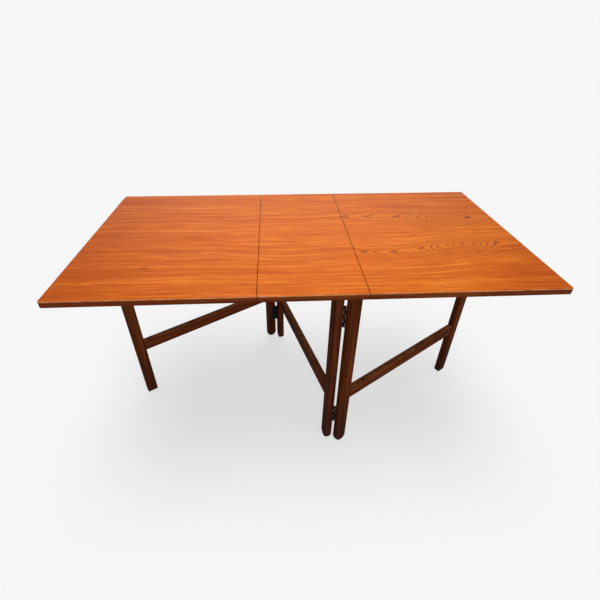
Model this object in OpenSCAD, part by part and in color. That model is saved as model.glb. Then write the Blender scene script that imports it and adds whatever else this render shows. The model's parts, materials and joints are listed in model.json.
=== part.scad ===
// Gate-leg drop leaf table: a fixed centre board on a slanting frame, and a leaf
// each side held up by a gate that folds back along the frame.
// X runs along the top, Y from front to back and Z up. The origin is on the floor
// under the middle of the top. The base is the same turned half a turn about Z.

/* [Top] */
// Length of the top with both leaves up
top_length = 1460; // [1000:10:2000]
// Depth of the top, front to back
top_depth = 770; // [500:10:1100]
// Height of the top face above the floor
table_height = 735; // [500:5:900]
// Thickness of the boards
board_thickness = 19; // [15:1:30]
// Width of the fixed centre board, between the middles of its two seams
centre_width = 310; // [220:5:450]
// Gap between the centre board and a leaf
seam_gap = 0.8; // [0.6:0.1:2]
// Radius of the outer corners in plan
corner_radius = 8; // [2:1:30]
// Width of the solid lipping round each board
lipping_width = 6; // [3:0.5:15]
// Thickness of the face veneers
veneer_thickness = 0.6; // [0.4:0.1:1.5]

/* [Posts] */
// Thickness of a post, across its frame or gate
post_thickness = 25; // [18:1:40]
// Width of a post, along its frame or gate
post_width = 41; // [28:1:60]
// Distance from the middle of a frame post to the nearer seam
seam_inset = 72; // [60:1:120]
// Distance from the middle of a frame post to the front or back edge
edge_inset = 82.5; // [60:0.5:150]
// Rounding at the foot of the frame posts and hinge posts
foot_radius = 14; // [2:1:14]
// Rounding at the foot of the outer legs
leg_foot_radius = 3; // [1:0.5:12]
// Gap between the top of a gate and the underside of the leaf
gate_clearance = 0.4; // [0.2:0.1:2]

/* [Gates] */
// Angle of an open gate from the length of the top
gate_angle = 33.2; // [20:0.1:45]
// Distance from the middle of an outer leg to the end of the leaf
leg_inset = 63; // [40:1:150]

/* [Rails] */
// Thickness of the rails
rail_thickness = 20; // [12:1:25]
// Height of a gate rail
gate_rail_height = 46; // [30:1:80]
// Height of the underside of a gate rail above the floor
gate_rail_lift = 231; // [120:1:400]
// Height of the frame's lower rail
lower_rail_height = 51; // [30:1:80]
// Height of the underside of the lower rail above the floor
lower_rail_lift = 219; // [120:1:400]
// Height of the frame's upper rail
upper_rail_height = 45; // [30:1:60]
// Length of a tenon
tenon_length = 22; // [10:1:30]
// Thickness of a tenon
tenon_thickness = 9; // [6:0.5:12]
// Shoulder above and below a tenon
tenon_shoulder = 6; // [3:0.5:10]
// Gap left behind and on each side of a tenon
tenon_gap = 0.1; // [0.05:0.05:0.3]

/* [Hinges] */
// Length of a gate hinge
gate_hinge_length = 80; // [50:1:110]
// Width of a gate hinge plate, from the pin
gate_plate_width = 22; // [16:1:34]
// Distance from the floor to the bottom of the lower gate hinge
lower_hinge_lift = 105; // [60:1:130]
// Distance from the top of the base down to the upper gate hinge
upper_hinge_drop = 70; // [40:1:150]
// Length of a leaf hinge
leaf_hinge_length = 60; // [40:1:80]
// Width of a leaf hinge plate, from the pin
leaf_plate_width = 34; // [24:1:50]
// Distance of each leaf hinge from the middle of its seam
leaf_hinge_offset = 200; // [60:5:230]
// Thickness of the hinge plates
plate_thickness = 2; // [1.2:0.1:3]
// Distance from the pin to the wood that a plate lies on
pin_offset = 4.2; // [3.8:0.1:6]
// Radius of the hinge knuckles
knuckle_radius = 3.6; // [3:0.1:5]
// Radius of the hinge pins
pin_radius = 1.5; // [1:0.1:2]
// Radial clearance of a pin in its knuckles
pin_clearance = 0.05; // [0.02:0.01:0.1]
// Gap between neighbouring knuckles along the pin
knuckle_gap = 0.3; // [0.2:0.1:0.6]
// Height of the rivet heads on a pin
pin_head_height = 1.2; // [0.8:0.1:2]
// Radius of the rivet heads on a pin
pin_head_radius = 2.6; // [2:0.1:3.5]
// Gap between a knuckle and whatever turns past it
knuckle_clearance = 0.4; // [0.3:0.1:1]

/* [Screws] */
// Radius of a hinge screw's shank
screw_radius = 1.6; // [1.2:0.1:2]
// Radius of a hinge screw's head
screw_head_radius = 3.2; // [2.5:0.1:4]
// Length of a gate hinge screw
gate_screw_length = 16; // [10:1:20]
// Length of a leaf hinge screw
leaf_screw_length = 14; // [8:1:16]
// Radius of the long screws that hold the centre board
frame_screw_radius = 2.2; // [1.8:0.1:3]
// Radius of a long screw's head
frame_screw_head_radius = 4.2; // [3.5:0.1:5.5]
// Wood left between the tip of a long screw and the top face
frame_screw_cover = 6; // [3:1:10]
// Width of the slot in a screw head
slot_width = 0.8; // [0.5:0.1:1.2]
// Depth of the slot in a screw head
slot_depth = 0.8; // [0.5:0.1:1.2]

/* [Hidden] */
$fn = 48;
teak_face = [0.80, 0.40, 0.20];
teak_edge = [0.48, 0.23, 0.13];
dark_wood = [0.30, 0.15, 0.09];
core_wood = [0.72, 0.58, 0.42];
black_steel = [0.10, 0.10, 0.11];
screw_steel = [0.45, 0.43, 0.40];
past = 1;                                      // how far a cutter runs past a face
underside = table_height - board_thickness;
leaf_near = centre_width / 2 + seam_gap / 2;   // the leaf's edge at the seam
centre_far = centre_width / 2 - seam_gap / 2;  // the centre board's edge at the seam
leaf_far = top_length / 2;
half_depth = top_depth / 2;
// the frame: its posts stand at (post_x, post_y) and the same place turned half round
post_x = centre_width / 2 - seam_inset;
post_y = edge_inset - half_depth;
frame_turn = atan2(post_x, -post_y);
half_frame = norm([post_x, post_y]);
upper_rail_lift = underside - upper_rail_height;
// the gate pin, at the frame post's front corner
pin_across = post_thickness / 2 + pin_offset;
pin_along = -half_frame - post_width / 2;
pin_x = pin_across * cos(frame_turn) - pin_along * sin(frame_turn);
pin_y = pin_across * sin(frame_turn) + pin_along * cos(frame_turn);
gate_reach = (leaf_far - leg_inset - pin_x - pin_across * sin(gate_angle)) / cos(gate_angle);
gate_top = underside - gate_clearance;
upper_hinge_lift = underside - upper_hinge_drop - gate_hinge_length;
gate_hinge_lifts = [upper_hinge_lift, lower_hinge_lift];
leaf_pin_height = underside + plate_thickness - pin_offset;
// hinges
knuckles = 5;
knuckle_cut = pin_offset + knuckle_clearance;
screws_per_plate = 3;
screw_end_share = 0.15;                        // of a plate's length, to its end screws
screw_out_share = 0.56;                        // of a plate's width, to its screws
screw_stagger_share = 0.16;                    // of a plate's width, for the middle screw
screw_tip_length = 3;
screw_tip_radius = 0.4;
frame_screw_places = [-0.6, 0, 0.6];           // along the upper rail, as shares
frame_screw_length = table_height - frame_screw_cover - upper_rail_lift;

// ---- shared shapes ----

// The right side stays as it is, and the left side is the same turned half round.
module side(left) {
    rotate([0, 0, left ? 180 : 0]) children();
}

// The plan of a board between two X values, drawn in by inset, with round far corners.
module plan(x0, x1, inset, rounded) {
    d = half_depth - inset;
    r = rounded ? max(corner_radius - inset, 0.5) : 0;
    difference() {
        translate([x0 + inset, -d]) square([x1 - x0 - 2 * inset, 2 * d]);
        if (rounded) {
            for (s = [-1, 1]) difference() {
                translate([x1 - inset - r, s * (d - r) - (s < 0 ? r + past : 0)])
                    square([r + past, r + past]);
                translate([x1 - inset - r, s * (d - r)]) circle(r);
            }
        }
    }
}

// One strip of the lipping with mitred ends: 0 is the far end, 1 the back, 2 the near
// end and 3 the front.
module lipping(x0, x1, strip, rounded) {
    k = 2 * lipping_width;
    out = [[1, -1], [1, 1], [-1, 1], [-1, -1]];
    corners = [for (o = out) [o.x > 0 ? x1 : x0, o.y * half_depth]];
    next = (strip + 1) % 4;
    color(teak_edge)
        translate([0, 0, underside])
            linear_extrude(board_thickness)
                intersection() {
                    difference() {
                        plan(x0, x1, 0, rounded);
                        plan(x0, x1, lipping_width, rounded);
                    }
                    polygon([
                        corners[strip] + k * out[strip], corners[next] + k * out[next],
                        corners[next] - k * out[next], corners[strip] - k * out[strip],
                    ]);
                }
}

// A sheet inside the lipping, from one height to another.
module sheet(x0, x1, rounded, from, to, tint) {
    color(tint)
        translate([0, 0, from])
            linear_extrude(to - from) plan(x0, x1, lipping_width, rounded);
}

module core(x0, x1, rounded) {
    sheet(x0, x1, rounded, underside + veneer_thickness, table_height - veneer_thickness,
        core_wood);
}

module top_veneer(x0, x1, rounded) {
    sheet(x0, x1, rounded, table_height - veneer_thickness, table_height, teak_face);
}

module under_veneer(x0, x1, rounded) {
    sheet(x0, x1, rounded, underside, underside + veneer_thickness, teak_edge);
}

// A post's outline, standing on the floor, with the two corners of its foot rounded.
module post_outline(height, foot) {
    half = post_width / 2;
    translate([-half, foot]) square([post_width, height - foot]);
    translate([foot - half, 0]) square([post_width - 2 * foot, height]);
    for (s = [-1, 1]) translate([s * (half - foot), foot]) circle(foot);
}

// A rail with a tenon at each end. It runs along X, and length is between shoulders.
module rail(length, lift, height) {
    tall = height - 2 * tenon_shoulder;
    translate([0, -rail_thickness / 2, lift]) cube([length, rail_thickness, height]);
    translate([-tenon_length, -tenon_thickness / 2, lift + tenon_shoulder])
        cube([length + 2 * tenon_length, tenon_thickness, tall]);
}

// What the same rail's tenons need cut from the posts.
module rail_mortises(length, lift, height) {
    deep = tenon_length + tenon_gap;
    tall = height - 2 * (tenon_shoulder - tenon_gap);
    translate([-deep, -tenon_thickness / 2 - tenon_gap, lift + tenon_shoulder - tenon_gap])
        cube([length + 2 * deep, tenon_thickness + 2 * tenon_gap, tall]);
}

// ---- screws ----

// A countersunk screw, pointing down, with the top of its head at the origin.
module screw(radius, head, length) {
    neck = head - radius;
    shank = length - neck - screw_tip_length;
    color(screw_steel)
        difference() {
            union() {
                translate([0, 0, -neck]) cylinder(h = neck, r1 = radius, r2 = head);
                translate([0, 0, -neck - shank]) cylinder(h = shank, r = radius);
                translate([0, 0, -length])
                    cylinder(h = screw_tip_length, r1 = screw_tip_radius, r2 = radius);
            }
            translate([-head - past, -slot_width / 2, -slot_depth])
                cube([2 * (head + past), slot_width, slot_depth + past]);
        }
}

// The hole that the same screw fills, cut a little past the top of its head.
module screw_hole(radius, head, length) {
    neck = head - radius;
    translate([0, 0, -neck]) cylinder(h = neck, r1 = radius, r2 = head);
    translate([0, 0, -length]) cylinder(h = length, r = radius);
    cylinder(h = past, r = head);
}

// ---- hinges ----
// A hinge stands on its pin's lower end: the pin is the Z axis, the plate runs along X
// and the wood that it lies on is pin_offset away, towards -Y.

function knuckle_length(length) = (length - (knuckles - 1) * knuckle_gap) / knuckles;
function knuckle_lift(i, length) = i * (knuckle_length(length) + knuckle_gap);

// The places of a plate's screws, each with Z pointing out of the plate.
module plate_screw_places(width, length) {
    step = length * (1 - 2 * screw_end_share) / (screws_per_plate - 1);
    for (i = [0 : screws_per_plate - 1]) {
        out = screw_out_share + (i % 2) * screw_stagger_share;
        translate([out * width, plate_thickness - pin_offset, length * screw_end_share + i * step])
            rotate([-90, 0, 0]) children();
    }
}

// first is the lowest knuckle that belongs to this plate: 0 or 1.
module hinge_plate(width, length, first, screw_length) {
    tall = knuckle_length(length);
    color(black_steel)
        difference() {
            union() {
                difference() {
                    translate([0, -pin_offset, 0]) cube([width, plate_thickness, length]);
                    for (i = [1 - first : 2 : knuckles - 1])
                        translate([0, 0, knuckle_lift(i, length) - knuckle_gap])
                            cylinder(h = tall + 2 * knuckle_gap, r = knuckle_cut);
                }
                for (i = [first : 2 : knuckles - 1])
                    translate([0, 0, knuckle_lift(i, length)])
                        cylinder(h = tall, r = knuckle_radius);
            }
            translate([0, 0, -past])
                cylinder(h = length + 2 * past, r = pin_radius + pin_clearance);
            plate_screw_places(width, length)
                screw_hole(screw_radius, screw_head_radius, screw_length);
        }
}

module hinge_pin(length) {
    color(black_steel) {
        cylinder(h = length, r = pin_radius);
        for (z = [-pin_head_height, length])
            translate([0, 0, z]) cylinder(h = pin_head_height, r = pin_head_radius);
    }
}

module plate_screws(width, length, screw_length) {
    plate_screw_places(width, length)
        screw(screw_radius, screw_head_radius, screw_length);
}

module plate_screw_holes(width, length, screw_length) {
    plate_screw_places(width, length)
        screw_hole(screw_radius, screw_head_radius, screw_length);
}

// ---- where the moving joints are ----

// The frame lies along Y here, with its front post at the lower end.
module in_frame() {
    rotate([0, 0, frame_turn]) children();
}

// The right gate's pin is the Z axis here, and the open gate runs along X.
module in_gate() {
    translate([pin_x, pin_y, 0]) rotate([0, 0, gate_angle]) children();
}

// The frame's half of the same hinge, in the hinge's own frame.
module at_frame_plate() {
    in_frame()
        translate([pin_across, pin_along, 0])
            rotate([0, 0, 90]) mirror([0, 1, 0]) children();
}

// The right seam's two hinges, each in the hinge's own frame, on the leaf's side or
// the centre board's.
module at_seam(leaf_side) {
    for (s = [-1, 1])
        translate([centre_width / 2, s * leaf_hinge_offset - leaf_hinge_length / 2,
            leaf_pin_height])
            rotate([-90, 0, 0]) mirror([leaf_side ? 0 : 1, 0, 0]) children();
}

// The pockets for one seam's plates, with room for the knuckles and the pins' heads.
module seam_pockets() {
    for (s = [-1, 1])
        translate([centre_width / 2, s * leaf_hinge_offset, 0]) {
            translate([-leaf_plate_width, -leaf_hinge_length / 2, underside - past])
                cube([2 * leaf_plate_width, leaf_hinge_length, plate_thickness + past]);
            translate([0, 0, leaf_pin_height])
                rotate([90, 0, 0])
                    cylinder(
                        h = leaf_hinge_length + 2 * (pin_head_height + knuckle_clearance),
                        r = knuckle_radius + knuckle_clearance, center = true
                    );
        }
}

module seam_screw_holes(leaf_side) {
    at_seam(leaf_side)
        plate_screw_holes(leaf_plate_width, leaf_hinge_length, leaf_screw_length);
}

module at_frame_screws() {
    in_frame()
        for (share = frame_screw_places)
            translate([0, share * (half_frame - post_width), upper_rail_lift])
                rotate([180, 0, 0]) children();
}

// ---- the centre board ----

module centre_cuts() {
    for (left = [false, true]) side(left) {
        seam_pockets();
        seam_screw_holes(false);
    }
    at_frame_screws()
        screw_hole(frame_screw_radius, frame_screw_head_radius, frame_screw_length);
}

module centre_core() {
    difference() {
        core(-centre_far, centre_far, false);
        centre_cuts();
    }
}

module centre_top_veneer() {
    top_veneer(-centre_far, centre_far, false);
}

module centre_under_veneer() {
    difference() {
        under_veneer(-centre_far, centre_far, false);
        centre_cuts();
    }
}

module centre_lipping(strip) {
    difference() {
        lipping(-centre_far, centre_far, strip, false);
        for (left = [false, true]) side(left) seam_pockets();
    }
}

// ---- a leaf ----

module leaf_cuts() {
    seam_pockets();
    seam_screw_holes(true);
}

module leaf_core(left) {
    side(left) difference() {
        core(leaf_near, leaf_far, true);
        leaf_cuts();
    }
}

module leaf_top_veneer(left) {
    side(left) top_veneer(leaf_near, leaf_far, true);
}

module leaf_under_veneer(left) {
    side(left) difference() {
        under_veneer(leaf_near, leaf_far, true);
        leaf_cuts();
    }
}

module leaf_lipping(left, strip) {
    side(left) difference() {
        lipping(leaf_near, leaf_far, strip, true);
        seam_pockets();
    }
}

// ---- the frame ----

rail_run = 2 * half_frame - post_width;

module in_frame_rails() {
    in_frame() translate([0, -rail_run / 2, 0]) rotate([0, 0, 90]) children();
}

module frame_post(back) {
    color(dark_wood)
        side(back) difference() {
            in_frame()
                translate([-post_thickness / 2, -half_frame, 0])
                    rotate([90, 0, 90])
                        linear_extrude(post_thickness) post_outline(underside, foot_radius);
            in_frame_rails() {
                rail_mortises(rail_run, upper_rail_lift, upper_rail_height);
                rail_mortises(rail_run, lower_rail_lift, lower_rail_height);
            }
            at_frame_plate()
                for (lift = gate_hinge_lifts)
                    translate([0, 0, lift])
                        plate_screw_holes(gate_plate_width, gate_hinge_length,
                            gate_screw_length);
        }
}

module upper_rail() {
    color(dark_wood)
        difference() {
            in_frame_rails() rail(rail_run, upper_rail_lift, upper_rail_height);
            at_frame_screws()
                screw_hole(frame_screw_radius, frame_screw_head_radius, frame_screw_length);
        }
}

module lower_rail() {
    color(dark_wood)
        in_frame_rails() rail(rail_run, lower_rail_lift, lower_rail_height);
}

module frame_screws() {
    at_frame_screws()
        screw(frame_screw_radius, frame_screw_head_radius, frame_screw_length);
}

// ---- a gate ----

gate_rail_run = gate_reach - post_width * 3 / 2;

module in_gate_rail() {
    in_gate() translate([post_width, -pin_across, 0]) children();
}

// One of a gate's two uprights, with its middle at a distance along the gate.
module gate_upright(along, foot) {
    in_gate()
        translate([along, -pin_offset, 0])
            rotate([90, 0, 0])
                linear_extrude(post_thickness) post_outline(gate_top, foot);
}

module gate_post(left) {
    color(dark_wood)
        side(left) difference() {
            gate_upright(post_width / 2, foot_radius);
            in_gate_rail() rail_mortises(gate_rail_run, gate_rail_lift, gate_rail_height);
            in_gate()
                for (lift = gate_hinge_lifts)
                    translate([0, 0, lift])
                        plate_screw_holes(gate_plate_width, gate_hinge_length,
                            gate_screw_length);
        }
}

module gate_leg(left) {
    color(dark_wood)
        side(left) difference() {
            gate_upright(gate_reach, leg_foot_radius);
            in_gate_rail() rail_mortises(gate_rail_run, gate_rail_lift, gate_rail_height);
        }
}

module gate_rail(left) {
    color(dark_wood)
        side(left) in_gate_rail() rail(gate_rail_run, gate_rail_lift, gate_rail_height);
}

// ---- the gate hinges ----

module frame_plate(left, lift) {
    side(left)
        at_frame_plate()
            translate([0, 0, lift])
                hinge_plate(gate_plate_width, gate_hinge_length, 0, gate_screw_length);
}

module gate_plate(left, lift) {
    side(left)
        in_gate()
            translate([0, 0, lift])
                hinge_plate(gate_plate_width, gate_hinge_length, 1, gate_screw_length);
}

module gate_pin(left, lift) {
    side(left) in_gate() translate([0, 0, lift]) hinge_pin(gate_hinge_length);
}

module frame_plate_screws(left) {
    side(left)
        at_frame_plate()
            for (lift = gate_hinge_lifts)
                translate([0, 0, lift])
                    plate_screws(gate_plate_width, gate_hinge_length, gate_screw_length);
}

module gate_plate_screws(left) {
    side(left)
        in_gate()
            for (lift = gate_hinge_lifts)
                translate([0, 0, lift])
                    plate_screws(gate_plate_width, gate_hinge_length, gate_screw_length);
}

// ---- the leaf hinges ----

// The centre board keeps the outer knuckles, and the leaf the ones between.
module seam_plates(left, leaf_side) {
    side(left)
        at_seam(leaf_side)
            hinge_plate(leaf_plate_width, leaf_hinge_length, leaf_side ? 1 : 0,
                leaf_screw_length);
}

module seam_pins(left) {
    side(left) at_seam(true) hinge_pin(leaf_hinge_length);
}

module seam_screws(left, leaf_side) {
    side(left)
        at_seam(leaf_side)
            plate_screws(leaf_plate_width, leaf_hinge_length, leaf_screw_length);
}

centre_core();
centre_top_veneer();
centre_under_veneer();
centre_lipping(3);  // centre_front_lipping
centre_lipping(1);  // centre_back_lipping
centre_lipping(0);  // centre_right_lipping
centre_lipping(2);  // centre_left_lipping
leaf_core(false);  // right_leaf_core
leaf_top_veneer(false);  // right_leaf_top_veneer
leaf_under_veneer(false);  // right_leaf_under_veneer
leaf_lipping(false, 3);  // right_leaf_front_lipping
leaf_lipping(false, 1);  // right_leaf_back_lipping
leaf_lipping(false, 0);  // right_leaf_end_lipping
leaf_lipping(false, 2);  // right_leaf_seam_lipping
leaf_core(true);  // left_leaf_core
leaf_top_veneer(true);  // left_leaf_top_veneer
leaf_under_veneer(true);  // left_leaf_under_veneer
leaf_lipping(true, 1);  // left_leaf_front_lipping
leaf_lipping(true, 3);  // left_leaf_back_lipping
leaf_lipping(true, 0);  // left_leaf_end_lipping
leaf_lipping(true, 2);  // left_leaf_seam_lipping
frame_post(false);  // front_frame_post
frame_post(true);  // back_frame_post
upper_rail();
lower_rail();
frame_screws();
gate_post(false);  // right_gate_post
gate_leg(false);  // right_gate_leg
gate_rail(false);  // right_gate_rail
gate_post(true);  // left_gate_post
gate_leg(true);  // left_gate_leg
gate_rail(true);  // left_gate_rail
frame_plate(false, upper_hinge_lift);  // right_upper_frame_plate
gate_plate(false, upper_hinge_lift);  // right_upper_gate_plate
gate_pin(false, upper_hinge_lift);  // right_upper_pin
frame_plate(false, lower_hinge_lift);  // right_lower_frame_plate
gate_plate(false, lower_hinge_lift);  // right_lower_gate_plate
gate_pin(false, lower_hinge_lift);  // right_lower_pin
frame_plate(true, upper_hinge_lift);  // left_upper_frame_plate
gate_plate(true, upper_hinge_lift);  // left_upper_gate_plate
gate_pin(true, upper_hinge_lift);  // left_upper_pin
frame_plate(true, lower_hinge_lift);  // left_lower_frame_plate
gate_plate(true, lower_hinge_lift);  // left_lower_gate_plate
gate_pin(true, lower_hinge_lift);  // left_lower_pin
frame_plate_screws(false);  // right_frame_plate_screws
gate_plate_screws(false);  // right_gate_plate_screws
frame_plate_screws(true);  // left_frame_plate_screws
gate_plate_screws(true);  // left_gate_plate_screws
seam_plates(false, false);  // right_seam_centre_plates
seam_plates(false, true);  // right_seam_leaf_plates
seam_pins(false);  // right_seam_pins
seam_plates(true, false);  // left_seam_centre_plates
seam_plates(true, true);  // left_seam_leaf_plates
seam_pins(true);  // left_seam_pins
seam_screws(false, false);  // right_seam_centre_screws
seam_screws(false, true);  // right_seam_leaf_screws
seam_screws(true, false);  // left_seam_centre_screws
seam_screws(true, true);  // left_seam_leaf_screws
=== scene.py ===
import json
import math
import bpy
from mathutils import Matrix, Vector

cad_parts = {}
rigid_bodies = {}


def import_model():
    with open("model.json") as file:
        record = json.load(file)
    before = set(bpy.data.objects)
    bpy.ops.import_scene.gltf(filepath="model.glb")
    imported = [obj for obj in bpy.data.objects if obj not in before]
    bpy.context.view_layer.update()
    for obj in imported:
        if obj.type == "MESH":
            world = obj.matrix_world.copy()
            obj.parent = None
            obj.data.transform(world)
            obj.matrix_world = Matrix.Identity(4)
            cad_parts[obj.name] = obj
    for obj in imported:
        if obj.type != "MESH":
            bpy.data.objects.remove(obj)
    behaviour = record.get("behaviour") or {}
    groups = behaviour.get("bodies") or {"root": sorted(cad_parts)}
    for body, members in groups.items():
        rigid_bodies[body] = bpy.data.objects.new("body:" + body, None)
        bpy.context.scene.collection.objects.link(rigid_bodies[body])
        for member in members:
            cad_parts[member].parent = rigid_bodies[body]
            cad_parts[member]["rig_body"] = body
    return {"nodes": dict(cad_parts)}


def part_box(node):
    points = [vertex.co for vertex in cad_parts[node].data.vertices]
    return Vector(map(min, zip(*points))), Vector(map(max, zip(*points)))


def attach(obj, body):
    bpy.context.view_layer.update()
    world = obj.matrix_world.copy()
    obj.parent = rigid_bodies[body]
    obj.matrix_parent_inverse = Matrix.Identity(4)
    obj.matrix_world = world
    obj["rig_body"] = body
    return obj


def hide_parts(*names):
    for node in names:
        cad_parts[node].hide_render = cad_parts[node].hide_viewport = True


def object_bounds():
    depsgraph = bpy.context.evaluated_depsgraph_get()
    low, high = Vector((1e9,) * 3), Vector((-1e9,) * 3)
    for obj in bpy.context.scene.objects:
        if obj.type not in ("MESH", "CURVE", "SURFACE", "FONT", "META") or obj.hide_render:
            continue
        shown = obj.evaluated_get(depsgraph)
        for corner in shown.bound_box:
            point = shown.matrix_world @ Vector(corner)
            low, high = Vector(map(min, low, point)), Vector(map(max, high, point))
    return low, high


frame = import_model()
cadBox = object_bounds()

# Drop leaf table in teak: a fixed centre board and two leaves, held up by two open gates.
# Each piece takes its place and size from the box of the frame node that it stands for.


# ---- helpers ----

tolerance = 1e-5    # two places closer than this are the same, metres


def toLinear(hexCode):
    # sRGB hex to the linear colour that a shader takes
    channels = [int(hexCode[i:i + 2], 16) / 255 for i in (1, 3, 5)]
    return [c / 12.92 if c <= 0.04045 else ((c + 0.055) / 1.055) ** 2.4 for c in channels] + [1.0]


def addNode(tree, kind, inputs=None, **settings):
    # adds one node, with its settings, its numbers and its links
    node = tree.nodes.new(kind)
    for key, value in settings.items():
        setattr(node, key, value)
    for key, value in (inputs or {}).items():
        if isinstance(value, bpy.types.NodeSocket):
            tree.links.new(value, node.inputs[key])
        else:
            node.inputs[key].default_value = value
    return node


def fillRamp(ramp, stops):
    # stops: (position, hex or grey number)
    while len(ramp.color_ramp.elements) < len(stops):
        ramp.color_ramp.elements.new(0.5)
    for element, (position, tone) in zip(ramp.color_ramp.elements, stops):
        element.position = position
        element.color = toLinear(tone) if isinstance(tone, str) else (tone, tone, tone, 1)


def fillCurve(node, points):
    # points: (x, y), both from 0 to 1
    curve = node.mapping.curves[0]
    while len(curve.points) < len(points):
        curve.points.new(0.5, 0.5)
    for point, place in zip(curve.points, points):
        point.location = place
    node.mapping.update()


def newMaterial(name):
    material = bpy.data.materials.new(name)
    material.use_nodes = True
    material.node_tree.nodes.clear()
    return material, material.node_tree


def selectOnly(piece):
    bpy.ops.object.select_all(action="DESELECT")
    piece.select_set(True)
    bpy.context.view_layer.objects.active = piece


def addBlock(name, size, centre=(0, 0, 0)):
    # a box to start from, with its size and place already in the mesh
    bpy.ops.object.select_all(action="DESELECT")
    bpy.ops.mesh.primitive_cube_add(size=1, location=centre)
    piece = bpy.context.object
    piece.name = name
    piece.data.name = name
    piece.scale = size
    bpy.ops.object.transform_apply(location=True, rotation=True, scale=True)
    return piece


def pickEdges(piece, wanted):
    # selects the edges whose two ends both pass, for the next edit-mode tool
    selectOnly(piece)
    bpy.ops.object.mode_set(mode="EDIT")
    bpy.ops.mesh.select_mode(type="EDGE")
    bpy.ops.mesh.select_all(action="DESELECT")
    bpy.ops.object.mode_set(mode="OBJECT")
    mesh = piece.data
    for edge in mesh.edges:
        a, b = (mesh.vertices[i].co for i in edge.vertices)
        edge.select = wanted(a, b)
    bpy.ops.object.mode_set(mode="EDIT")


def roundEdges(piece, wanted, radius, segments):
    pickEdges(piece, wanted)
    bpy.ops.mesh.bevel(offset=radius, segments=segments, affect="EDGES", clamp_overlap=False)
    bpy.ops.object.mode_set(mode="OBJECT")


def easeArrises(piece, radius, segments=3, angle=30):
    # takes the sharp corner off every edge that is left, as sandpaper does
    selectOnly(piece)
    bevel = piece.modifiers.new("ease", "BEVEL")
    bevel.width = radius
    bevel.segments = segments
    bevel.limit_method = "ANGLE"
    bevel.angle_limit = math.radians(angle)
    bpy.ops.object.modifier_apply(modifier=bevel.name)


def smoothPiece(piece, angle=35):
    selectOnly(piece)
    bpy.ops.object.shade_smooth_by_angle(angle=math.radians(angle))


def placeMesh(piece, turn, centre):
    # turns the piece about its own upright axis, then moves it, all in the mesh
    piece.data.transform(Matrix.Translation(centre) @ Matrix.Rotation(turn, 4, "Z"))


def cutAway(piece, cutter, operation="DIFFERENCE"):
    selectOnly(piece)
    cut = piece.modifiers.new("cut", "BOOLEAN")
    cut.operation = operation
    cut.solver = "EXACT"
    cut.object = cutter
    bpy.ops.object.modifier_apply(modifier=cut.name)


def middleOf(node):
    low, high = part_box(node)
    return (low + high) / 2


def bodyOf(node):
    return frame["nodes"][node]["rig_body"]


def standFor(piece, node, slotName, *materials):
    # the finished piece takes over from one frame node
    piece.data.materials.clear()
    for material in materials:
        piece.data.materials.append(material)
    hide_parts(node)
    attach(piece, bodyOf(node))


# ---- camera ----

cameraPlace = {
    "position": (-0.10306, -1.2222, 1.3220),
    "yaw": -3.168,
    "pitch": -35.59,
    "roll": 0.351,
    "lens": 22.817,
    "shiftX": 0.0117,
    "sensor": 36,
    "reach": 200,
}


def makeCamera(place):
    yaw, pitch, roll = (math.radians(place[k]) for k in ("yaw", "pitch", "roll"))
    level = math.cos(pitch)
    forward = Vector((-math.sin(yaw) * level, math.cos(yaw) * level, math.sin(pitch)))
    right = Vector((math.cos(yaw), math.sin(yaw), 0))
    up = right.cross(forward)
    across = right * math.cos(roll) + up * math.sin(roll)
    upright = up * math.cos(roll) - right * math.sin(roll)
    data = bpy.data.cameras.new("camera")
    data.lens = place["lens"]
    data.sensor_width = place["sensor"]
    data.shift_x = place["shiftX"]
    data.clip_end = place["reach"]
    camera = bpy.data.objects.new("camera", data)
    bpy.context.scene.collection.objects.link(camera)
    turned = Matrix((across, upright, -forward)).transposed().to_4x4()
    camera.matrix_world = Matrix.Translation(place["position"]) @ turned
    bpy.context.scene.camera = camera


makeCamera(cameraPlace)
print("camera: placed")


# ---- floor and light ----

studio = {
    "floorSize": 160.0,
    "backdropRadius": 78.0,
    "backdropSides": (96, 48),
    "backdropLevel": 0.925,
    "floorColour": "#b0b0b0",
    "floorGlow": 0.635,      # the lit paper's own brightness, which keeps the shadow pale
    # (height on the unit sphere, level of the room)
    "dome": (
        (-1.0, 0.12), (-0.12, 0.14), (-0.07, 0.60), (0.06, 0.60),
        (0.15, 0.18), (0.46, 0.08), (1.0, 0.07),
    ),
    "windowLevel": 0.62,    # a broad pale wall behind the table, which the oiled top mirrors softly
    "windowFrom": (0.10, 0.26),
    "windowTo": (0.46, 0.72),
    "windowSide": (0.74, 0.96),
    "fillLevel": 0.75,      # weaker light from the front, a little to the right
    "fillFrom": (0.26, -0.96, 0.10),
    "fillSpread": (0.40, 1.0),
    "sun": 1.5,             # the broad light overhead
    "sunSpread": 42,
    "sunTilt": (-6, 0),
    "sunHeight": 3.0,
    "lampPower": 23.5,      # the soft box over the middle of the top
    "lampSize": (1.1, 0.8),
    "lampPlace": (0.0, 0.0, 2.10),
}


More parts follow.
